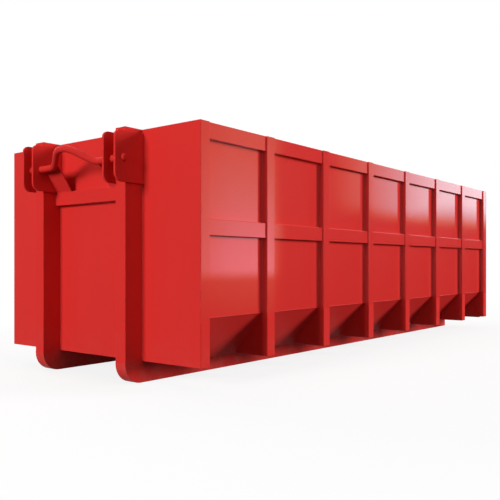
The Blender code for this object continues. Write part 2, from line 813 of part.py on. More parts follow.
def turned_mesh(profile, axis, place):
    """Turn a profile of (radius, distance along the axis) into a closed piece."""
    outline = bmesh.new()
    verts = [outline.verts.new((radius, 0, along)) for radius, along in reversed(profile)]
    for first, second in zip(verts, verts[1:]):
        outline.edges.new((first, second))
    mesh = bpy.data.meshes.new("profile")
    outline.to_mesh(mesh)
    outline.free()
    holder = bpy.data.objects.new("profile", mesh)
    screw = holder.modifiers.new("turn", "SCREW")
    screw.steps = CIRCLE_SIDES
    screw.render_steps = CIRCLE_SIDES
    screw.use_merge_vertices = True
    screw.merge_threshold = GAP / 10
    turned = welded(evaluated_mesh(holder))
    if axis == "X":
        turned.transform(Matrix.Rotation(math.pi / 2, 4, "Y"))
    if axis == "Y":
        turned.transform(Matrix.Rotation(-math.pi / 2, 4, "X"))
    turned.transform(Matrix.Translation(place))
    return turned


def add_rollers():
    """Axles and rollers under the rear edge, inboard of the runners."""
    for axle in add_pair("roller_axle", axle_mesh(), steel):
        shade_round(axle)
    low_x, high_x = roller_span()
    half = (high_x - low_x) / 2
    bore_radius = (AXLE_RADIUS + RUNNING_CLEARANCE) / math.cos(math.pi / CIRCLE_SIDES)
    profile = [
        (bore_radius, -half),
        (ROLLER_RADIUS - ROLLER_EDGE, -half),
        (ROLLER_RADIUS, ROLLER_EDGE - half),
        (ROLLER_RADIUS, half - ROLLER_EDGE),
        (ROLLER_RADIUS - ROLLER_EDGE, half),
        (bore_radius, half),
        (bore_radius, -half),
    ]
    place = ((low_x + high_x) / 2, ROLLER_Y, ROLLER_Z)
    for roller in add_pair("roller", turned_mesh(profile, "X", (0, 0, 0)), steel, place):
        shade_round(roller)


def hinge_middles():
    """Height of the middle of each hinge."""
    return [DOOR_BOTTOM_Z + (DOOR_TOP_Z - DOOR_BOTTOM_Z) * share for share in HINGE_HEIGHT_SHARES]


def rectangle(low_x, high_x, low_z, high_z):
    """Outline of a rectangle."""
    return [(low_x, low_z), (high_x, low_z), (high_x, high_z), (low_x, high_z)]


def door_windows():
    """Openings of the door frame between its stiles, bars, middle rail and uprights."""
    low_x = DOOR_LOW_X + STILE_WIDTH
    high_x = DOOR_HIGH_X - STILE_WIDTH
    pitch = (high_x - low_x + UPRIGHT_WIDTH) / (UPRIGHT_COUNT + 1)
    rows = (
        (DOOR_BOTTOM_Z + DOOR_BAR_WIDTH, MID_RAIL_Z),
        (MID_RAIL_Z + RAIL_HEIGHT, DOOR_TOP_Z - DOOR_BAR_WIDTH),
    )
    windows = []
    for number in range(UPRIGHT_COUNT + 1):
        left = low_x + pitch * number
        for low_z, high_z in rows:
            windows.append(rectangle(left, left + pitch - UPRIGHT_WIDTH, low_z, high_z))
    return windows


def strap_outline():
    """Plan of a hinge strap: a plate welded on the door's stile, with a barrel at the axis."""
    inner_y = DOOR_FACE_Y - DOOR_TUBE_WALL / 2
    outer_y = DOOR_FACE_Y + STRAP_PLATE
    meet = math.degrees(math.asin((outer_y - HINGE_Y) / HINGE_RADIUS))
    barrel = arc((HINGE_X, HINGE_Y), HINGE_RADIUS, 270, meet, CIRCLE_SIDES)
    end_x = DOOR_LOW_X + STILE_WIDTH - STRAP_PLATE
    return barrel + [(end_x, outer_y), (end_x, inner_y), (HINGE_X, inner_y)]


def add_door():
    """Sheet and frame of the rear door, hung at the hinge axis."""
    origin = (HINGE_X, HINGE_Y, FLOOR_Z)
    sheet_out_y = DOOR_INNER_Y + DOOR_SHEET
    sheet = box_mesh((DOOR_LOW_X, DOOR_INNER_Y, DOOR_BOTTOM_Z), (DOOR_HIGH_X, sheet_out_y, DOOR_TOP_Z))
    add_object("door_sheet", measured_from(origin, sheet), paint("door_sheet"), origin)
    frame_y = sheet_out_y + GAP
    outline = rectangle(DOOR_LOW_X, DOOR_HIGH_X, DOOR_BOTTOM_Z, DOOR_TOP_Z)
    frame = plate_along(outline, frame_y, DOOR_FACE_Y, door_windows())
    frame = thick(without_faces(frame, ((0, -1, 0), (0, frame_y, 0))), DOOR_TUBE_WALL)
    hole = bore((HINGE_X, HINGE_Y), ROD_RADIUS + RUNNING_CLEARANCE)
    for middle in hinge_middles():
        low = middle - HINGE_HEIGHT / 2
        frame = combined(frame, plate_flat(strap_outline(), low, low + HINGE_HEIGHT, (hole,)), "UNION")
    shade_round(add_object("door_frame", measured_from(origin, frame), paint("door_frame"), origin))


def add_hinge_rod():
    """Headed rod through all the lugs and straps."""
    middles = hinge_middles()
    reach = HINGE_HEIGHT / 2 + HINGE_RUNNING_GAP + LUG_PLATE
    top = middles[-1] + reach + GAP
    bottom = middles[0] - reach - ROD_TAIL
    profile = [
        (0, bottom),
        (ROD_RADIUS, bottom),
        (ROD_RADIUS, top),
        (ROD_HEAD_RADIUS, top),
        (ROD_HEAD_RADIUS, top + ROD_HEAD_HEIGHT),
        (0, top + ROD_HEAD_HEIGHT),
    ]
    rod = turned_mesh(profile, "Z", (HINGE_X, HINGE_Y, 0))
    shade_round(add_object("hinge_rod", rod, steel("hinge_rod")))


def finger_outline():
    """Plan of a lock finger: a hub on the shaft and a nose flat against the door."""
    flat_y = DOOR_FACE_Y + GAP
    nose_x = LOCK_X - FINGER_LENGTH
    hub = arc((LOCK_X, LOCK_Y), HUB_RADIUS, 270, 450, CIRCLE_SIDES // 2)
    return hub + [(nose_x, flat_y + FINGER_NOSE), (nose_x, flat_y), (DOOR_HIGH_X, flat_y)]


def lock_height(share):
    """Height on the lock shaft at a share of the wall's height."""
    return FLOOR_Z + WALL_HEIGHT * share


def fork_mesh():
    """Hub on the shaft with two cheeks that take the lever, bored along Y for its pin."""
    half = LEVER_THICKNESS / 2 + LEVER_SIDE_GAP
    outer = half + FORK_CHEEK
    tip_x = LOCK_X - FORK_REACH
    root_x = LOCK_X - HUB_RADIUS
    meet = math.degrees(math.asin(outer / HUB_RADIUS))
    hub = arc((LOCK_X, LOCK_Y), HUB_RADIUS, -180 + meet, 180 - meet, CIRCLE_SIDES)
    outline = hub + [
        (tip_x, LOCK_Y + outer),
        (tip_x, LOCK_Y + half),
        (root_x, LOCK_Y + half),
        (root_x, LOCK_Y - half),
        (tip_x, LOCK_Y - half),
        (tip_x, LOCK_Y - outer),
    ]
    fork = plate_flat(outline, LEVER_Z - FORK_HEIGHT / 2, LEVER_Z + FORK_HEIGHT / 2)
    bore_radius = (LEVER_PIN_RADIUS + GAP) / math.cos(math.pi / CIRCLE_SIDES)
    drill = cylinder_mesh((lever_pivot_x(), LOCK_Y, LEVER_Z), bore_radius, 2 * (outer + OVERRUN), "Y")
    return combined(fork, drill, "DIFFERENCE")


def add_lock():
    """Lock shaft on the rear right post, with its three fingers and the lever's fork."""
    origin = (LOCK_X, LOCK_Y, LEVER_Z)
    centre = (LOCK_X, LOCK_Y, FLOOR_Z + WALL_HEIGHT / 2)
    shaft = cylinder_mesh(centre, LOCK_SHAFT_RADIUS, WALL_HEIGHT - 2 * SHAFT_END_GAP)
    for share in FINGER_HEIGHT_SHARES:
        low = lock_height(share) - FINGER_HEIGHT / 2
        shaft = combined(shaft, plate_flat(finger_outline(), low, low + FINGER_HEIGHT), "UNION")
    shaft = combined(shaft, fork_mesh(), "UNION")
    shade_round(add_object("lock_shaft", measured_from(origin, shaft), steel("lock_shaft"), origin))


def lever_pivot_x():
    """Place of the lever's pivot across the width."""
    return LOCK_X - FORK_REACH + LEVER_PIVOT_INSET


def lever_outline():
    """Profile (x, z) of the lever: round at the pivot and at the hand end."""
    pivot = (lever_pivot_x(), LEVER_Z)
    end = (pivot[0] - LEVER_LENGTH, LEVER_Z)
    radius = LEVER_HEIGHT / 2
    return arc(pivot, radius, -90, 90, CIRCLE_SIDES // 2) + arc(end, radius, 90, 270, CIRCLE_SIDES // 2)


def add_lever():
    """Hand lever in the fork, and the pin that it lifts about."""
    pivot = (lever_pivot_x(), LOCK_Y, LEVER_Z)
    hole = bore((pivot[0], LEVER_Z), LEVER_PIN_RADIUS + RUNNING_CLEARANCE)
    hang_hole = circle((pivot[0] - LEVER_LENGTH, LEVER_Z), LEVER_HOLE_RADIUS)
    half = LEVER_THICKNESS / 2
    mesh = plate_along(lever_outline(), LOCK_Y - half, LOCK_Y + half, (hole, hang_hole))
    shade_round(add_object("lock_lever", measured_from(pivot, mesh), steel("lock_lever"), pivot))
    reach = half + LEVER_SIDE_GAP + FORK_CHEEK + GAP
    profile = [
        (0, -reach),
        (LEVER_PIN_RADIUS, -reach),
        (LEVER_PIN_RADIUS, reach),
        (LEVER_PIN_RADIUS + LEVER_PIN_HEAD, reach),
        (LEVER_PIN_RADIUS + LEVER_PIN_HEAD, reach + LEVER_PIN_HEAD),
        (0, reach + LEVER_PIN_HEAD),
    ]
    origin = (LOCK_X, LOCK_Y, LEVER_Z)
    pin = turned_mesh(profile, "Y", pivot)
    shade_round(add_object("lever_pin", measured_from(origin, pin), steel("lever_pin"), origin))


def add_cradle():
    """Hook on the door's middle rail that the closed lever lies in."""
    inner_y = DOOR_FACE_Y + GAP
    lever_out_y = LOCK_Y + LEVER_THICKNESS / 2 + LEVER_SIDE_GAP
    outer_y = lever_out_y + CRADLE_PLATE
    ledge = LEVER_Z - LEVER_HEIGHT / 2 - GAP
    outline = [
        (inner_y, ledge - CRADLE_PLATE),
        (outer_y, ledge - CRADLE_PLATE),
        (outer_y, ledge + CRADLE_LIP),
        (lever_out_y, ledge + CRADLE_LIP),
        (lever_out_y, ledge),
        (inner_y + CRADLE_PLATE, ledge),
        (inner_y + CRADLE_PLATE, ledge + CRADLE_LIP),
        (inner_y, ledge + CRADLE_LIP),
    ]
    middle = lever_pivot_x() - LEVER_LENGTH * CRADLE_INSET_SHARE
    mesh = plate_across(outline, middle - CRADLE_WIDTH / 2, middle + CRADLE_WIDTH / 2)
    origin = (HINGE_X, HINGE_Y, FLOOR_Z)
    add_object("lever_cradle", measured_from(origin, mesh), paint("lever_cradle"), origin)


clear_scene()
dumpster = make_collection("dumpster")
add_floor()
add_front_wall()
add_side_sheets()
add_ribs()
add_side_rails()
add_runners()
add_posts()
add_crossmembers()
add_front_cross()
add_ears()
add_bail()
add_gussets()
add_rear_posts()
add_sill()
add_rollers()
add_door()
add_hinge_rod()
add_lock()
add_lever()
add_cradle()
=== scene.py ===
"""Looks of an open-top steel dumpster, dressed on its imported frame. Metres, +Z up."""
import json
import math

import bmesh
import bpy
from mathutils import Matrix, Vector


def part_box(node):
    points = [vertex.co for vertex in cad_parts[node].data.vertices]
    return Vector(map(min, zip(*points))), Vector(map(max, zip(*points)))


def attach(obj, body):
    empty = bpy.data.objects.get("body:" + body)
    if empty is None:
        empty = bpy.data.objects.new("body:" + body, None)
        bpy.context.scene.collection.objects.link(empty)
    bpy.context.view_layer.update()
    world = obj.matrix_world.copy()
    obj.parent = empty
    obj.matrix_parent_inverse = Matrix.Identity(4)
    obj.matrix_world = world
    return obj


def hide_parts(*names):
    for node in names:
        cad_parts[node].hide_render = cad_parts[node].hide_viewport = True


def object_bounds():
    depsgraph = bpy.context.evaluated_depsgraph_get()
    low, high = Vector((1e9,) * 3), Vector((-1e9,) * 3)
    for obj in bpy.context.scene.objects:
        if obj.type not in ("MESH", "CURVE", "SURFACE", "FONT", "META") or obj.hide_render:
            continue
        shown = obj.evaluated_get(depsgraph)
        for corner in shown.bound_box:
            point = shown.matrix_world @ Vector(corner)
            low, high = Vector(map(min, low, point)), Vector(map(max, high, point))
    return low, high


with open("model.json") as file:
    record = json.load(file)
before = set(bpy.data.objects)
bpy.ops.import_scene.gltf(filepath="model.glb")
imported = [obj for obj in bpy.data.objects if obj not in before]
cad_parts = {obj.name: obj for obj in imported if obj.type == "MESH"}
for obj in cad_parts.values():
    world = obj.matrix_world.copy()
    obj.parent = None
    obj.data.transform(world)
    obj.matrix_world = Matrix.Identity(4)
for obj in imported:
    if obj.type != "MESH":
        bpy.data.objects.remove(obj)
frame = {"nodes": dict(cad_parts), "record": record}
cad_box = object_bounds()

# The photograph's camera, as a place beside the front right corner and a level aim
CAMERA_ASIDE = 3.294
CAMERA_AHEAD = 3.578
CAMERA_HEIGHT = 0.943
CAMERA_AZIMUTH = math.radians(38.33)
CAMERA_REACH = 500
FOCAL_PIXELS = 658.5
IMAGE_PIXELS = 500
HORIZON_PIXEL = 263.85
SENSOR = 36

# Studio light, in shares of the level at which a colour renders as written
SKY_LEVEL = 0.13
FLOOR_ALBEDO = 0.05

# Softboxes: azimuth from +X to +Y, elevation, level, size and distance
SOFTBOXES = {
    "front_softbox": (-92, 16, 0.76, 9, 30),
    "fill_softbox": (-20, 25, 0.13, 6, 14),
    "right_softbox": (41, 16, 1.13, 13, 32),
    "left_softbox": (180, 30, 0.66, 8, 14),
    "rear_softbox": (95, 30, 0.12, 8, 14),
    "top_softbox": (0, 90, 0.12, 8, 14),
}
AIM_HEIGHT = 1

# Floor: half its width, gap below the object, paleness, and the radii and shares of its own glow
FLOOR_HALF = 150
FLOOR_GAP = 0.0005
FLOOR_PALE = 0.85
FLOOR_GLOW = (4.5, 11, 0.83, 1.0)

# Card beside the right side that glows and is seen only in reflections, where it paints softbox
# reflections that light nothing, and the black flag below it
CARD_X = 3.0
CARD_SOUTH = -2.2
CARD_NORTH = 13.0
CARD_TOP = 5.0
FLAG_GAP = 0.02
FLAG_BLACK = (0.02, 0.02, 0.02, 1)

# Near softbox reflection painted on the card: lower edge, dimming upwards, glow below the edge, and its
# ends
NEAR_LEVEL = 2.3
NEAR_EDGE = (0.70, 0.90)
NEAR_DIMMING = (1.0, 2.4, 1.0, 0.36)
NEAR_GLOW = (0.15, 0.70, 0.0, 0.2)
NEAR_END = (0.72, 0.22)
NEAR_START = (-1.1, -0.4, 0.6, 1.0)

# Far softbox reflection painted on the card: lower edge, depth of that edge along the side, and rise
# along the side
FAR_LEVEL = 3.2
FAR_EDGE = 1.62
FAR_EDGE_DEPTH = (4.6, 6.6, 0.36, 0.70)
FAR_RISE = (1.85, 6.0)

# Tints of the painted reflections on the card: red falls with height, blue rises with strength, and the
# far softbox is cool
WARM_RED = (0.9, 1.9, 1.6, 0.9)
WARM_GREEN = 0.92
WARM_BLUE = (0.2, 2.0, 0.4, 1.05)
COOL_TINT = (0.58, 0.97, 1.07, 1)
COOL_START = (0.05, 0.5)

# Rounding of folded plate and of cut plate, and what counts as an edge or as a narrow face
BEND_RADIUS = 0.004
BEND_SEGMENTS = 4
CUT_RADIUS = 0.0014
CUT_SEGMENTS = 2
CUT_WIDTH = 0.014
SHARP = math.radians(33)
FLAT = math.radians(0.6)
MERGE = 0.00002
FACE_WEIGHT = 100

# Bail bar as the frame's solid has it, and the rings of its domed ends: taper and reach
BAIL_RADIUS = 0.029
HUMP_HALF_TOP = 0.016
HUMP_HALF_BASE = 0.322
HUMP_STEPS = 36
STRAIGHT_RUN = 0.05
BAIL_SIDES = 32
DOME_DEPTH = BAIL_RADIUS * 0.5
DOME_RINGS = ((0.45, 0.55), (0.72, 0.85), (0.92, 0.99))

# Rollers: bore, rounded lip, dish, and the dish's edges as shares of the radius
ROLLER_BORE = 0.0185
ROLLER_CHAMFER = 0.001
ROLLER_LIP = 0.006
LIP_SHARE = 0.3
DISH_DEPTH = 0.008
HUB_RIM = 0.52
DISH_INNER = 0.58
DISH_OUTER = 0.78
TREAD_RIM = 0.84
ROLLER_STEPS = 64

# Weld beads: radius, sides, dome of their ends, and how far they stop short of a corner
BEAD_RADIUS = 0.0035
BEAD_SIDES = 8
BEAD_DOME = BEAD_RADIUS * 0.6
BEAD_DOME_SEGMENTS = 2
BEAD_RIM = math.radians(60)
BEAD_STOP = 0.01
BEAD_LONG_STOP = 0.02
BEAD_RIB_GAP = 0.005
EAR_REACH = 0.03
RIB_COUNT = 8

PAINT_RED = (0.66, 0.029, 0.025, 1)
PAINT_DEEP = (0.58, 0.024, 0.021, 1)
PRIMER = (0.16, 0.05, 0.035, 1)
RUST = (0.13, 0.045, 0.02, 1)
DUST = (0.36, 0.29, 0.24, 1)
GREASE = (0.035, 0.028, 0.02, 1)
STEEL = (0.46, 0.45, 0.43, 1)
STEEL_DARK = (0.20, 0.19, 0.18, 1)
WHITE = (1, 1, 1, 1)

# Paint: shares of fading and streaks, roughness and its grain, peel, chips, dust and road spray
FADED = 0.22
STREAKED = 0.10
PAINT_ROUGH = 0.42
PAINT_GRAIN = 0.12
PEEL_RELIEF = 0.35
CHIP_COLOUR = 0.8
CHIP_SOFTNESS = 0.04
SETTLED_DUST = 0.28
SPRAY_TOP = 0.45

# Gloss that stays on the paint below the knee of the side, and the height over which it goes
DULL_GLOSS = 0.08
DULL_STEP = 0.02

# Scuffed inside: where a face counts as inner, scratches, gouges, how they thin out with height,
# and the inside's dust, lost gloss and added roughness
INSIDE = (-0.05, -0.25)
SCRATCHED = 0.35
GOUGED = 0.65
SCUFF_HEIGHTS = (2.0, 0.3, 0.45, 1.0)
INSIDE_DUST = 0.35
INSIDE_DULLING = 0.8
INSIDE_ROUGH = 0.12

# Scraped floor: steel shown by scrapes and patches, dust, roughness and its grain, metal and relief
SCRAPED_STEEL = 0.6
PATCHED_STEEL = 0.3
FLOOR_DUST = 0.4
FLOOR_ROUGH = 0.55
FLOOR_GRAIN = 0.2
SCRAPED_METAL = 0.5
SCRAPED_RELIEF = -0.6
GRAIN_RELIEF = 0.4

# Bare steel: brightness and depth of its nicks, roughness of its grain and of grease, and how far
# grease hides the metal
NICK_BRIGHT = 0.5
NICK_RELIEF = 0.5
STEEL_GRAIN = 0.16
GREASE_ROUGH = 0.2
GREASE_COVER = 0.7

# Painted weld: fading, darker ripples, roughness of the tone, and the ripples' turns and wander
WELD_FADED = 0.4
WELD_RIPPLED = 0.12
WELD_GRAIN = 0.15
RIPPLE_RADIANS_PER_METRE = 1100
RIPPLE_WANDER = 0.003


class Socket:
    """A socket of a finish, on which arithmetic adds Math nodes."""

    def __init__(self, finish, link):
        self.finish = finish
        self.link = link

    def math(self, operation, *others):
        values = dict(enumerate((self,) + others))
        return self.finish.node("ShaderNodeMath", values, operation=operation)

    def __add__(self, other):
        return self.math("ADD", other)

    def __radd__(self, other):
        return self.math("ADD", other)

    def __sub__(self, other):
        return self.math("SUBTRACT", other)

    def __rsub__(self, other):
        return self.finish.node("ShaderNodeMath", {0: other, 1: self}, operation="SUBTRACT")

    def __mul__(self, other):
        return self.math("MULTIPLY", other)

    def __rmul__(self, other):
        return self.math("MULTIPLY", other)

    def smooth(self, low, high):
        """0 at low, 1 at high, and a soft step between."""
        values = {"Value": self, "From Min": low, "From Max": high}
        return self.finish.node("ShaderNodeMapRange", values, interpolation_type="SMOOTHSTEP")

    def ramp(self, low, high, start=0.0, end=1.0):
        """start at low, end at high, and a straight line between."""
        values = {"Value": self, "From Min": low, "From Max": high, "To Min": start, "To Max": end}
        return self.finish.node("ShaderNodeMapRange", values, interpolation_type="LINEAR")

    def wave(self, frequency):
        """A sine of the value, from 0 to 1."""
        return (self * frequency).math("SINE") * 0.5 + 0.5


class Finish:
    """A node tree with one method for its nodes."""

    def __init__(self, tree):
        self.tree = tree

    def fill(self, socket, value):
        """Link an input to a socket of the finish, or set its value."""
        if isinstance(value, Socket):
            self.tree.links.new(value.link, socket)
        else:
            socket.default_value = value

    def node(self, kind, values=None, output=0, **settings):
        """Add a node: its settings first, then the values or links of its sockets.

        It gives back one of the node's outputs, or nothing for a node that ends the tree.
        """
        made = self.tree.nodes.new(kind)
        for name, value in settings.items():
            setattr(made, name, value)
        for name, value in (values or {}).items():
            self.fill(made.inputs[name], value)
        return Socket(self, made.outputs[output]) if made.outputs else None

    def place(self):
        return self.node("ShaderNodeTexCoord", output="Object")

    def facing(self):
        return self.axes(self.node("ShaderNodeTexCoord", output="Normal"))

    def axes(self, vector):
        return [self.node("ShaderNodeSeparateXYZ", {0: vector}, output=axis) for axis in "XYZ"]

    def noise(self, scale, detail, roughness, stretch=(1, 1, 1)):
        """Noise on the object's own coordinates, from 0 to 1; a small stretch draws it out."""
        vector = self.node("ShaderNodeMapping", {"Vector": self.place(), "Scale": stretch})
        values = {"Vector": vector, "Scale": scale, "Detail": detail, "Roughness": roughness}
        return self.node("ShaderNodeTexNoise", values, output="Fac")

    def edge(self):
        """1 on the rounded edges of a softened piece, and 0 elsewhere."""
        return self.node("ShaderNodeAttribute", output="Fac", attribute_name="edge")

    def blend(self, factor, low, high):
        """Colour that goes from low to high with a factor."""
        return self.node("ShaderNodeMix", {0: factor, 6: low, 7: high}, output=2, data_type="RGBA")

    def bump(self, height, distance, strength):
        values = {"Strength": strength, "Distance": distance, "Height": height}
        return self.node("ShaderNodeBump", values)

    def feed(self, shader, **values):
        """Set or link a shader's sockets; a name's underscores stand for spaces."""
        for name, value in values.items():
            self.fill(shader.inputs[name.replace("_", " ")], value)


def new_finish(name):
    """A material with its tree and its Principled shader."""
    material = bpy.data.materials.new(name)
    material.use_nodes = True
    return material, Finish(material.node_tree), material.node_tree.nodes["Principled BSDF"]


def paint(name, gloss, wear, dust, sheen, dull_below=0.0, scuffed=False):
    """Red paint under a clear coat, with worn edges and dust.

    gloss is the coat's share, wear the share of edge that is chipped, dust the road dust near the
    ground, sheen the gloss of the paint itself, dull_below a height under which the coat is dull,
    and scuffed adds the scratches that loads leave on the inside.
    """
    material, finish, shader = new_finish(name)
    x, _, z = finish.axes(finish.place())
    broad = finish.noise(scale=0.7, detail=4, roughness=0.6)
    streaks = finish.noise(scale=5, detail=4, roughness=0.6, stretch=(1, 1, 0.08))
    peel = finish.noise(scale=150, detail=2, roughness=0.4)
    fine = finish.noise(scale=40, detail=5, roughness=0.7)
    chip = finish.noise(scale=26, detail=4, roughness=0.7)
    film = finish.noise(scale=3, detail=5, roughness=0.6)
    spray = finish.noise(scale=9, detail=5, roughness=0.65)
    tone = broad.smooth(0.35, 0.7) * FADED + streaks.smooth(0.45, 0.8) * STREAKED
    chips = finish.edge() * chip.smooth(1 - wear, 1 - wear + CHIP_SOFTNESS)
    colour = finish.blend(chips * CHIP_COLOUR, finish.blend(tone, PAINT_RED, PAINT_DEEP), PRIMER)
    settled = finish.facing()[2].smooth(0.6, 1.0) * film.smooth(0.3, 0.7) * SETTLED_DUST
    dirt = settled + z.ramp(SPRAY_TOP, 0.0) * spray.smooth(0.35, 0.75) * dust
    rough = PAINT_ROUGH + fine * PAINT_GRAIN
    coat = gloss * (1 - dirt) * (1 - chips)
    if dull_below:
        above = z.smooth(dull_below - DULL_STEP, dull_below)
        coat = coat * above.ramp(0, 1, DULL_GLOSS, 1)
    height = peel * PEEL_RELIEF - chips
    if scuffed:
        inner = (x * finish.facing()[0]).ramp(*INSIDE)
        scratches = finish.noise(scale=18, detail=5, roughness=0.75, stretch=(1, 0.25, 1))
        gouges = finish.noise(scale=7, detail=6, roughness=0.7, stretch=(1, 0.5, 1.2))
        worn = scratches.smooth(0.5, 0.62) * SCRATCHED + gouges.smooth(0.56, 0.66) * GOUGED
        bare = inner * worn * z.ramp(*SCUFF_HEIGHTS)
        colour = finish.blend(bare, colour, finish.blend(fine, STEEL_DARK, RUST))
        colour = finish.blend(inner * broad * INSIDE_DUST, colour, DUST)
        coat = coat * (1 - inner * INSIDE_DULLING)
        rough = rough + inner * INSIDE_ROUGH
        height = height - bare
    finish.feed(
        shader,
        Base_Color=finish.blend(dirt, colour, DUST),
        Roughness=rough,
        Coat_Weight=coat,
        Coat_Roughness=0.06,
        Coat_IOR=1.5,
        Specular_IOR_Level=sheen,
        Normal=finish.bump(height, distance=0.0003, strength=0.25),
    )
    return material


def worn_floor(name):
    """Floor plate that loads have scraped along its length down to steel and rust."""
    material, finish, shader = new_finish(name)
    scrape = finish.noise(scale=9, detail=6, roughness=0.75, stretch=(1, 0.12, 1)).smooth(0.42, 0.6)
    patch = finish.noise(scale=1.4, detail=5, roughness=0.65).smooth(0.35, 0.65)
    fine = finish.noise(scale=60, detail=4, roughness=0.7)
    dusty = finish.noise(scale=4, detail=5, roughness=0.6).smooth(0.5, 0.8)
    steel = finish.blend(fine, STEEL_DARK, RUST)
    colour = finish.blend(scrape * SCRAPED_STEEL + patch * PATCHED_STEEL, PAINT_DEEP, steel)
    height = scrape * SCRAPED_RELIEF + fine * GRAIN_RELIEF
    finish.feed(
        shader,
        Base_Color=finish.blend(dusty * FLOOR_DUST, colour, DUST),
        Roughness=FLOOR_ROUGH + fine * FLOOR_GRAIN,
        Metallic=scrape * SCRAPED_METAL,
        Specular_IOR_Level=0.3,
        Normal=finish.bump(height, distance=0.0008, strength=0.5),
    )
    return material


def bare_steel(name, tint, dark, rough, grease):
    """Machined or rolled steel with fine turning marks and grease in its corners."""
    material, finish, shader = new_finish(name)
    grain = finish.noise(scale=90, detail=4, roughness=0.6, stretch=(1, 1, 9))
    film = finish.noise(scale=14, detail=4, roughness=0.6).smooth(0.4, 0.75) * grease
    nick = finish.edge() * finish.noise(scale=60, detail=3, roughness=0.6).smooth(0.45, 0.6)
    colour = finish.blend(film, finish.blend(grain, tint, dark), GREASE)
    finish.feed(
        shader,
        Base_Color=finish.blend(nick * NICK_BRIGHT, colour, tint),
        Roughness=rough + grain * STEEL_GRAIN + film * GREASE_ROUGH,
        Metallic=1 - film * GREASE_COVER,
        Normal=finish.bump(grain - nick * NICK_RELIEF, distance=0.00025, strength=0.35),
    )
    return material


def weld_paint(name):
    """Painted weld bead with its ripples."""
    material, finish, shader = new_finish(name)
    x, y, z = finish.axes(finish.place())
    wander = finish.noise(scale=30, detail=2, roughness=0.5) * RIPPLE_WANDER
    ripple = (x + y + z + wander).wave(RIPPLE_RADIANS_PER_METRE)
    tone = finish.noise(scale=12, detail=4, roughness=0.6)
    finish.feed(
        shader,
        Base_Color=finish.blend(tone * WELD_FADED + ripple * WELD_RIPPLED, PAINT_RED, PAINT_DEEP),
        Roughness=PAINT_ROUGH + tone * WELD_GRAIN,
        Coat_Weight=0.4,
        Coat_Roughness=0.12,
        Specular_IOR_Level=0.12,
        Normal=finish.bump(ripple, distance=0.0005, strength=0.6),
    )
    return material


def set_camera():
    """Level camera at the photograph's place, aim and framing."""
    corner = Vector((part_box("front_wall")[1].x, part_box("front_wall")[0].y, 0))
    data = bpy.data.cameras.new("camera")
    data.sensor_width = SENSOR
    data.lens = FOCAL_PIXELS / IMAGE_PIXELS * SENSOR
    data.shift_y = (HORIZON_PIXEL - IMAGE_PIXELS / 2) / IMAGE_PIXELS
    data.clip_end = CAMERA_REACH
    camera = bpy.data.objects.new("camera", data)
    camera.location = corner + Vector((CAMERA_ASIDE, -CAMERA_AHEAD, CAMERA_HEIGHT))
    camera.rotation_euler = (math.radians(90), 0, CAMERA_AZIMUTH)
    bpy.context.scene.collection.objects.link(camera)
    bpy.context.scene.camera = camera


def add_softbox(name, azimuth, elevation, level, size, distance):
    """Square soft light from a direction, which gives its level at the object's middle."""
    data = bpy.data.lights.new(name, "AREA")
    data.shape = "SQUARE"
    data.size = size
    data.energy = level * math.pi * math.pi * distance * distance
    light = bpy.data.objects.new(name, data)
    turn, tilt = math.radians(azimuth), math.radians(elevation)
    aim = Vector((math.cos(turn) * math.cos(tilt), math.sin(turn) * math.cos(tilt), math.sin(tilt)))
    light.location = aim * distance + Vector((0, 0, AIM_HEIGHT))
    light.rotation_euler = aim.to_track_quat("Z", "Y").to_euler()
    light.visible_camera = False
    light.visible_glossy = False
    bpy.context.scene.collection.objects.link(light)


def shown_rays(finish):
    """1 for a camera, glossy or transmission ray, and 0 for the rays that light the object."""
    shown = finish.node("ShaderNodeLightPath", output="Is Camera Ray")
    for ray in ("Is Glossy Ray", "Is Transmission Ray"):
        shown = shown.math("MAXIMUM", finish.node("ShaderNodeLightPath", output=ray))
    return shown


def set_world():
    """White backdrop that lights the object softly from all sides."""
    world = bpy.data.worlds.new("studio")
    bpy.context.scene.world = world
    world.use_nodes = True
    finish = Finish(world.node_tree)
    world.node_tree.nodes.clear()
    shown = shown_rays(finish)
    strength = SKY_LEVEL * (1 - shown) + shown
    glow = finish.node("ShaderNodeBackground", {"Strength": strength, "Color": WHITE})
    finish.node("ShaderNodeOutputWorld", {"Surface": glow})


def stage_sheet(name, corners):
    """A flat stage piece through its corners, with an empty material."""
    shell = bmesh.new()
    shell.faces.new([shell.verts.new(corner) for corner in corners])
    mesh = bpy.data.meshes.new(name)
    shell.to_mesh(mesh)
    shell.free()
    sheet = bpy.data.objects.new(name, mesh)
    bpy.context.scene.collection.objects.link(sheet)
    material = bpy.data.materials.new(name)
    material.use_nodes = True
    material.node_tree.nodes.clear()
    mesh.materials.append(material)
    return sheet, Finish(material.node_tree)


def level_corners(west, east, south, north, height):
    """Corners of a level rectangle, in turn."""
    return [
        (west, south, height),
        (east, south, height),
        (east, north, height),
        (west, north, height),
    ]


def finish_stage(finish, shader):
    """End a stage material with its shader."""
    finish.node("ShaderNodeOutputMaterial", {"Surface": shader})


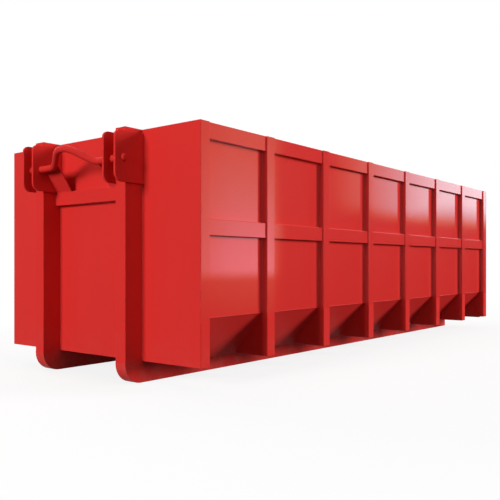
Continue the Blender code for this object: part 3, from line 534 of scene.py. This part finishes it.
def add_floor():
    """Plain pale floor with a soft shadow near the object, which turns into the backdrop further out."""
    low = cad_box[0][2] - FLOOR_GAP
    corners = level_corners(-FLOOR_HALF, FLOOR_HALF, -FLOOR_HALF, FLOOR_HALF, low)
    floor, finish = stage_sheet("floor", corners)
    x, y, _ = finish.axes(finish.place())
    away = (x * x + y * y).math("SQRT")
    dim = (FLOOR_ALBEDO, FLOOR_ALBEDO, FLOOR_ALBEDO, 1)
    pale = (FLOOR_PALE, FLOOR_PALE, FLOOR_PALE, 1)
    lit = finish.node("ShaderNodeBsdfDiffuse", {"Color": pale})
    white = finish.node("ShaderNodeEmission", {"Color": WHITE, "Strength": 1.0})
    seen = finish.node("ShaderNodeMixShader", {0: away.ramp(*FLOOR_GLOW), 1: lit, 2: white})
    dull = finish.node("ShaderNodeBsdfDiffuse", {"Color": dim})
    mixed = finish.node("ShaderNodeMixShader", {0: shown_rays(finish), 1: dull, 2: seen})
    finish_stage(finish, mixed)


def gloss_only(sheet):
    """Show a sheet in reflections, and nowhere else."""
    sheet.visible_camera = False
    sheet.visible_diffuse = False
    sheet.visible_shadow = False
    sheet.visible_transmission = False


def add_side_card():
    """Card beside the right side, dark except for two softbox-shaped glows that only reflections see:
    painted softbox reflections, which light nothing.
    """
    low = cad_box[0][2]
    corners = [
        (CARD_X, CARD_SOUTH, low),
        (CARD_X, CARD_NORTH, low),
        (CARD_X, CARD_NORTH, CARD_TOP),
        (CARD_X, CARD_SOUTH, CARD_TOP),
    ]
    card, finish = stage_sheet("side_card", corners)
    gloss_only(card)
    _, y, z = finish.axes(finish.place())
    # Painted reflections: the glow of a near and a far softbox, which only glossy rays see and which
    # lights nothing
    above = z.smooth(*NEAR_EDGE) * z.ramp(*NEAR_DIMMING)
    below = z.ramp(*NEAR_GLOW) * z.ramp(*NEAR_EDGE, 1.0, 0.0)
    near = (above + below) * y.smooth(*NEAR_END) * y.ramp(*NEAR_START)
    far = z.smooth(FAR_EDGE, FAR_EDGE + y.ramp(*FAR_EDGE_DEPTH)) * y.ramp(*FAR_RISE)
    strength = near * NEAR_LEVEL + far * FAR_LEVEL
    colours = {"Red": z.ramp(*WARM_RED), "Green": WARM_GREEN, "Blue": strength.ramp(*WARM_BLUE)}
    warm = finish.node("ShaderNodeCombineColor", colours)
    tint = finish.blend(far.ramp(*COOL_START), warm, COOL_TINT)
    glow = finish.node("ShaderNodeEmission", {"Color": tint, "Strength": strength})
    finish_stage(finish, glow)


def add_floor_flag():
    """Black flag on the floor beside the right side, so that the gloss there stays dark below."""
    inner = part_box("front_wall")[1].x + FLAG_GAP
    corners = level_corners(inner, CARD_X, CARD_SOUTH, CARD_NORTH, cad_box[0][2])
    flag, finish = stage_sheet("floor_flag", corners)
    gloss_only(flag)
    finish_stage(finish, finish.node("ShaderNodeBsdfDiffuse", {"Color": FLAG_BLACK}))


def add_piece(shell, name, body, finish, replaced=()):
    """Turn a bmesh into a smooth-shaded piece that rides on its body and stands for CAD nodes."""
    mesh = bpy.data.meshes.new(name)
    shell.to_mesh(mesh)
    shell.free()
    mesh.shade_smooth()
    mesh.materials.append(finish)
    piece = bpy.data.objects.new(name, mesh)
    bpy.context.scene.collection.objects.link(piece)
    normals = piece.modifiers.new("flat faces", "WEIGHTED_NORMAL")
    normals.mode = "FACE_AREA"
    normals.weight = FACE_WEIGHT
    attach(piece, body)
    if replaced:
        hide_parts(*replaced)


def new_shell():
    """An empty bmesh with the layer that marks the faces of rounded edges."""
    shell = bmesh.new()
    shell.faces.layers.float.new("edge")
    return shell


def folded_edges(shell):
    """Convex sharp edges between two wide faces, as on a folded plate."""
    found = []
    for edge in shell.edges:
        if edge.calc_face_angle_signed(0) > SHARP:
            widths = [2 * face.calc_area() / face.calc_perimeter() for face in edge.link_faces]
            if min(widths) > CUT_WIDTH:
                found.append(edge)
    return found


def round_edges(shell, edges, radius, segments):
    """Bevel edges, and mark the new faces."""
    mark = shell.faces.layers.float["edge"]
    made = bmesh.ops.bevel(
        shell,
        geom=edges,
        offset=radius,
        segments=segments,
        profile=0.5,
        affect="EDGES",
        clamp_overlap=True,
        material=-1,
    )
    for face in made["faces"]:
        face[mark] = 1.0


def softened_shell(node):
    """A CAD node's mesh, merged, with folded edges and cut edges rounded."""
    shell = bmesh.new()
    shell.from_mesh(frame["nodes"][node].data)
    shell.faces.layers.float.new("edge")
    bmesh.ops.remove_doubles(shell, verts=shell.verts, dist=MERGE)
    whole = {"verts": shell.verts, "edges": shell.edges}
    bmesh.ops.dissolve_limit(shell, angle_limit=FLAT, delimit={"NORMAL"}, **whole)
    folded = folded_edges(shell)
    if folded:
        round_edges(shell, folded, BEND_RADIUS, BEND_SEGMENTS)
    cut = [edge for edge in shell.edges if edge.calc_face_angle(0) > SHARP]
    round_edges(shell, cut, CUT_RADIUS, CUT_SEGMENTS)
    return shell


def add_softened_nodes(skipped):
    """Stand a softened copy in for each CAD node that has no piece of its own."""
    bodies = frame["record"]["behaviour"]["bodies"]
    body_of = {node: body for body, nodes in bodies.items() for node in nodes}
    for part in frame["record"]["subparts"]:
        node = part["node"]
        if node in skipped:
            continue
        slot_name = part["material_slot"]
        finish = NODE_FINISHES.get(node, FINISHES[slot_name])
        add_piece(softened_shell(node), f"{node}_dressed", body_of[node], finish, (node,))


def bail_point(x, straight, reach, rise):
    """Middle of the bail's bar at a place across the width."""
    travel = (abs(x) - HUMP_HALF_TOP) / (HUMP_HALF_BASE - HUMP_HALF_TOP)
    lift = (1 + math.cos(math.pi * min(max(travel, 0), 1))) / 2
    return Vector((x, straight.y - reach * lift, straight.z + rise * lift))


def bail_rings(straight, reach, rise, end_x):
    """Middle, direction and size of each ring of the bail bar, from one domed end to the other."""
    last = end_x - DOME_DEPTH
    hump = [HUMP_HALF_BASE * (step / HUMP_STEPS - 1) for step in range(2 * HUMP_STEPS + 1)]
    places = [-last, -HUMP_HALF_BASE - STRAIGHT_RUN] + hump + [HUMP_HALF_BASE + STRAIGHT_RUN, last]
    middles = [bail_point(x, straight, reach, rise) for x in places]
    across = Vector((1, 0, 0))
    dome = [(across * DOME_DEPTH * out, math.sqrt(1 - taper * taper)) for taper, out in DOME_RINGS]
    rings = [(middles[0] - offset, across, size) for offset, size in reversed(dome)]
    for before, here, after in zip(middles[:1] + middles, middles, middles[1:] + middles[-1:]):
        rings.append((here, (after - before).normalized(), 1.0))
    return rings + [(middles[-1] + offset, across, size) for offset, size in dome]


def add_bail():
    """Round bail bar swept along its hump, with domed ends."""
    low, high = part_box("hook_bail")
    straight = Vector((0, high.y - BAIL_RADIUS, low.z + BAIL_RADIUS))
    reach = straight.y - low.y - BAIL_RADIUS
    rise = high.z - BAIL_RADIUS - straight.z
    side = Vector((0, rise, reach)).normalized()
    shell = new_shell()
    rims, loops = [], []
    for middle, along, size in bail_rings(straight, reach, rise, high.x):
        turn = Matrix((side, along.cross(side), along)).transposed().to_4x4()
        matrix = Matrix.Translation(middle) @ turn
        radius = BAIL_RADIUS * size
        circle = {"segments": BAIL_SIDES, "radius": radius, "matrix": matrix}
        rim = bmesh.ops.create_circle(shell, cap_ends=False, **circle)["verts"]
        rims.append(rim)
        loops.append(list(dict.fromkeys(edge for vert in rim for edge in vert.link_edges)))
    for first, second in zip(loops, loops[1:]):
        bmesh.ops.bridge_loops(shell, edges=first + second)
    for rim in (rims[0], rims[-1]):
        bmesh.ops.contextual_create(shell, geom=rim)
    bmesh.ops.recalc_face_normals(shell, faces=shell.faces)
    slot_name = "lifting_paint"
    add_piece(shell, "bail_bar", "container", FINISHES[slot_name], ("hook_bail",))


def turned_shell(profile, steps):
    """Shell of revolution about Z through a closed profile of (radius, height) points."""
    shell = new_shell()
    points = [shell.verts.new((radius, 0, height)) for radius, height in profile]
    edges = [shell.edges.new(pair) for pair in zip(points, points[1:] + points[:1])]
    turn = {"cent": (0, 0, 0), "axis": (0, 0, 1), "angle": math.tau}
    bmesh.ops.spin(shell, geom=points + edges, steps=steps, use_merge=True, **turn)
    bmesh.ops.remove_doubles(shell, verts=shell.verts, dist=MERGE)
    bmesh.ops.recalc_face_normals(shell, faces=shell.faces)
    return shell


def roller_profile(radius, half):
    """Section of a roller with a rounded tread, dished faces and a hub."""
    dish, lip = half - DISH_DEPTH, ROLLER_LIP
    face = [
        (ROLLER_BORE, half - ROLLER_CHAMFER),
        (ROLLER_BORE + ROLLER_CHAMFER, half),
        (HUB_RIM * radius, half),
        (DISH_INNER * radius, dish),
        (DISH_OUTER * radius, dish),
        (TREAD_RIM * radius, half),
        (radius - lip, half),
        (radius - lip * LIP_SHARE, half - lip * LIP_SHARE),
        (radius, half - lip),
    ]
    return face + [(r, -height) for r, height in reversed(face)]


def add_rollers():
    """Turned rollers on the two rear axles."""
    slot_name = "roller_steel"
    for side in ("left", "right"):
        low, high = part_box(f"roller_{side}")
        shell = turned_shell(roller_profile((high.z - low.z) / 2, (high.x - low.x) / 2), ROLLER_STEPS)
        place = Matrix.Translation((low + high) / 2) @ Matrix.Rotation(math.radians(90), 4, "Y")
        bmesh.ops.transform(shell, matrix=place, verts=shell.verts)
        name, body = f"roller_{side}_turned", f"{side}_roller"
        add_piece(shell, name, body, FINISHES[slot_name], (f"roller_{side}",))


def add_bead(shell, start, end):
    """Add one weld bead from start to end."""
    start, end = Vector(start), Vector(end)
    turn = (end - start).to_track_quat("Z", "Y").to_matrix().to_4x4()
    bmesh.ops.create_cone(
        shell,
        cap_ends=True,
        segments=BEAD_SIDES,
        radius1=BEAD_RADIUS,
        radius2=BEAD_RADIUS,
        depth=(end - start).length,
        matrix=Matrix.Translation((start + end) / 2) @ turn,
    )


def finish_beads(shell, name):
    """Dome the ends of a set of beads, and make them one piece."""
    shell.faces.layers.float.new("edge")
    rims = [edge for edge in shell.edges if edge.calc_face_angle(0) > BEAD_RIM]
    round_edges(shell, rims, BEAD_DOME, BEAD_DOME_SEGMENTS)
    add_piece(shell, name, "container", WELD_FINISH)


def add_side_welds():
    """Beads where ribs and rails meet the side sheets."""
    for side, sign in (("left", -1), ("right", 1)):
        shell = bmesh.new()
        sheet_low, sheet_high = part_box(f"side_sheet_{side}")
        face_x = sign * max(abs(sheet_low.x), abs(sheet_high.x))
        knee, rim = sheet_low.z, sheet_high.z
        ribs = [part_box(f"side_rib_{side}_{number}") for number in range(1, RIB_COUNT + 1)]
        bays = []
        for (_, rib_end), (next_rib, _) in zip(ribs, ribs[1:]):
            bays.append((rib_end.y + BEAD_RIB_GAP, next_rib.y - BEAD_RIB_GAP))
        for low, high in ribs:
            for y in (low.y, high.y):
                if sheet_low.y < y < sheet_high.y:
                    add_bead(shell, (face_x, y, knee + BEAD_LONG_STOP), (face_x, y, rim - BEAD_STOP))
        for rail in ("top_rail", "middle_rail"):
            low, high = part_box(f"{rail}_{side}")
            for start, end in bays:
                for z in (low.z, high.z):
                    if z < rim - BEAD_STOP:
                        add_bead(shell, (face_x, start, z), (face_x, end, z))
        for start, end in bays:
            add_bead(shell, (face_x, start, knee), (face_x, end, knee))
        finish_beads(shell, f"side_welds_{side}")


def add_front_welds():
    """Beads round the posts, the crossmember and the ears."""
    shell = bmesh.new()
    wall_low, wall_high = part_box("front_wall")
    face_y = wall_low.y
    cross_low, cross_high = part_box("front_crossmember")
    for side in ("left", "right"):
        low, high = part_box(f"front_post_{side}")
        for x in (low.x, high.x):
            add_bead(shell, (x, face_y, wall_low.z + BEAD_STOP), (x, face_y, wall_high.z - BEAD_STOP))
        for place in ("inner", "outer"):
            ear_low, ear_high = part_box(f"bail_ear_{side}_{place}")
            near = [x for x in (ear_low.x, ear_high.x) if low.x - EAR_REACH < x < high.x + EAR_REACH]
            x = min(near, key=lambda x: min(abs(x - low.x), abs(x - high.x)))
            foot, head = ear_low.z + BEAD_LONG_STOP, ear_high.z - BEAD_LONG_STOP
            add_bead(shell, (x, low.y, foot), (x, low.y, head))
        prop_low, prop_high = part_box(f"bail_gusset_{side}")
        start, end = prop_low.x + BEAD_STOP, prop_high.x - BEAD_STOP
        add_bead(shell, (start, cross_low.y, prop_low.z), (end, cross_low.y, prop_low.z))
    start, end = cross_low.x + BEAD_STOP, cross_high.x - BEAD_STOP
    for z in (cross_low.z, cross_high.z):
        add_bead(shell, (start, face_y, z), (end, face_y, z))
    foot, head = cross_low.z + BEAD_STOP, cross_high.z - BEAD_STOP
    for x in (cross_low.x, cross_high.x):
        add_bead(shell, (x, cross_low.y, foot), (x, cross_low.y, head))
    finish_beads(shell, "front_welds")


KNEE_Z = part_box("slope_sheet_right")[1].z
GLOSSY_SIDE = {"gloss": 1.0, "wear": 0.34, "sheen": 0.07, "dull_below": KNEE_Z}

FINISHES = {
    "rib_paint": paint("rib_gloss_paint", dust=0.10, **GLOSSY_SIDE),
    "sheet_paint": paint("sheet_gloss_paint", dust=0.08, scuffed=True, **GLOSSY_SIDE),
    "front_paint": paint("front_satin_paint", gloss=0.02, wear=0.34, dust=0.06, sheen=0.05),
    "lifting_paint": paint("lifting_satin_paint", gloss=0.02, wear=0.40, dust=0.08, sheen=0.03),
    "runner_paint": paint("runner_satin_paint", gloss=0.03, wear=0.50, dust=0.14, sheen=0.04),
    "floor_paint": worn_floor("scraped_floor"),
    "door_paint": paint("door_gloss_paint", gloss=0.8, wear=0.36, dust=0.10, sheen=0.12),
    "gear_steel": bare_steel("plated_gear_steel", STEEL, STEEL_DARK, rough=0.28, grease=0.35),
    "roller_steel": bare_steel("rolled_roller_steel", STEEL, RUST, rough=0.40, grease=0.5),
}
WELD_FINISH = weld_paint("painted_weld")
SLOPE_FINISH = paint("slope_satin_paint", gloss=0.0, wear=0.34, dust=0.10, sheen=0.02, scuffed=True)
NODE_FINISHES = {"slope_sheet_left": SLOPE_FINISH, "slope_sheet_right": SLOPE_FINISH}

set_camera()
set_world()
add_floor()
add_side_card()
add_floor_flag()
for softbox, values in SOFTBOXES.items():
    add_softbox(softbox, *values)

bpy.context.scene.view_settings.view_transform = "Standard"

add_bail()
add_rollers()
add_softened_nodes({"hook_bail", "roller_left", "roller_right"})
add_side_welds()
add_front_welds()
